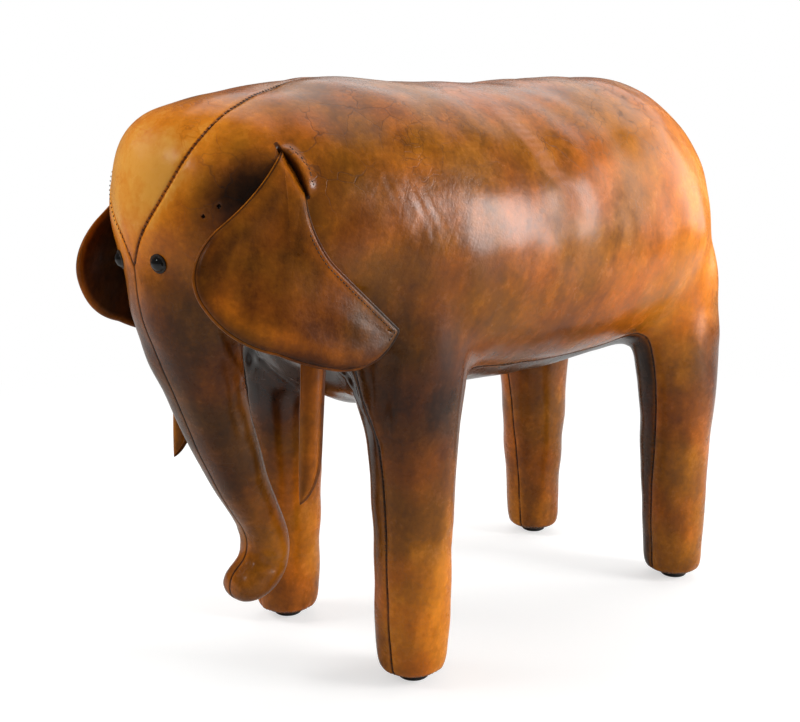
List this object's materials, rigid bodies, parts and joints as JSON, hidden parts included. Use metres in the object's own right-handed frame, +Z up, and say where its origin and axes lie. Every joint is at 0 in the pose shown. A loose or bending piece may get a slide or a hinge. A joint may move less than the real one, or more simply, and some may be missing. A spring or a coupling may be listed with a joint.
{
  "type": "elephant footstool",
  "caption": "Stitched leather footstool shaped as an elephant: stuffed barrel body on a timber frame, curled trunk, hanging ears and tusks, legs on rubber feet.",
  "frame": {"origin": "centre of the footprint box on the floor", "axes": "+Z up, the elephant faces -Y, its left side is +X"},
  "size_m": [0.332, 0.7006, 0.5592],
  "materials": {
    "body_leather": "waxed antique tan",
    "gusset_leather": "waxed dark brown",
    "ear_leather": "waxed mid brown",
    "trim_leather": "waxed mid brown",
    "sole_leather": "worn",
    "packing": "raw wood wool",
    "frame_wood": "planed",
    "steel": "plain",
    "eye_glass": "black gloss",
    "foot_rubber": "matt black"
  },
  "bodies": {
    "body": {"belly_gusset": "gusset_leather", "body_packing": "packing", "eye_pins": "steel", "foot_screws": "steel", "forehead_gusset": "body_leather", "front_left_foot": "foot_rubber", "front_left_leg_packing": "packing", "front_left_post": "frame_wood", "front_left_sole": "sole_leather", "front_rail": "frame_wood", "front_right_foot": "foot_rubber", "front_right_leg_packing": "packing", "front_right_post": "frame_wood", "front_right_sole": "sole_leather", "head_packing": "packing", "hind_left_foot": "foot_rubber", "hind_left_leg_packing": "packing", "hind_left_post": "frame_wood", "hind_left_sole": "sole_leather", "hind_rail": "frame_wood", "hind_right_foot": "foot_rubber", "hind_right_leg_packing": "packing", "hind_right_post": "frame_wood", "hind_right_sole": "sole_leather", "left_eye": "eye_glass", "left_side_panel": "body_leather", "post_dowels": "frame_wood", "right_eye": "eye_glass", "right_side_panel": "body_leather", "rod_staples": "steel", "spine_board": "frame_wood", "spine_screws": "steel", "trunk_packing": "packing", "trunk_rod": "steel"},
    "left_ear": {"left_ear_inner": "ear_leather", "left_ear_outer": "ear_leather", "left_ear_root": "ear_leather"},
    "left_tusk": {"left_tusk_core": "packing", "left_tusk_cover": "trim_leather"},
    "right_ear": {"right_ear_inner": "ear_leather", "right_ear_outer": "ear_leather", "right_ear_root": "ear_leather"},
    "right_tusk": {"right_tusk_core": "packing", "right_tusk_cover": "trim_leather"},
    "tail": {"tail_core": "packing", "tail_cover": "trim_leather"}
  },
  "joints": [
    {"name": "left_ear_flap", "type": "hinge", "parent": "body", "child": "left_ear", "pos_m": [0.10572, -0.26016, 0.46019], "axis": [-0.4847, -0.2471, 0.8391], "range_deg": [-5, 45], "stiffness_Nm_per_rad": 2},
    {"name": "right_ear_flap", "type": "hinge", "parent": "body", "child": "right_ear", "pos_m": [-0.10572, -0.26016, 0.46019], "axis": [-0.4847, 0.2471, -0.8391], "range_deg": [-5, 45], "stiffness_Nm_per_rad": 2},
    {"name": "left_tusk_swing", "type": "hinge", "parent": "body", "child": "left_tusk", "pos_m": [0.1, -0.24, 0.31651], "axis": [1, 0, 0], "range_deg": [-20, 25], "stiffness_Nm_per_rad": 0.1},
    {"name": "right_tusk_swing", "type": "hinge", "parent": "body", "child": "right_tusk", "pos_m": [-0.1, -0.24, 0.31651], "axis": [1, 0, 0], "range_deg": [-20, 25], "stiffness_Nm_per_rad": 0.1},
    {"name": "tail_swing", "type": "hinge", "parent": "body", "child": "tail", "pos_m": [0, 0.34127, 0.446], "axis": [0, 1, 0], "range_deg": [-50, 50]}
  ]
}
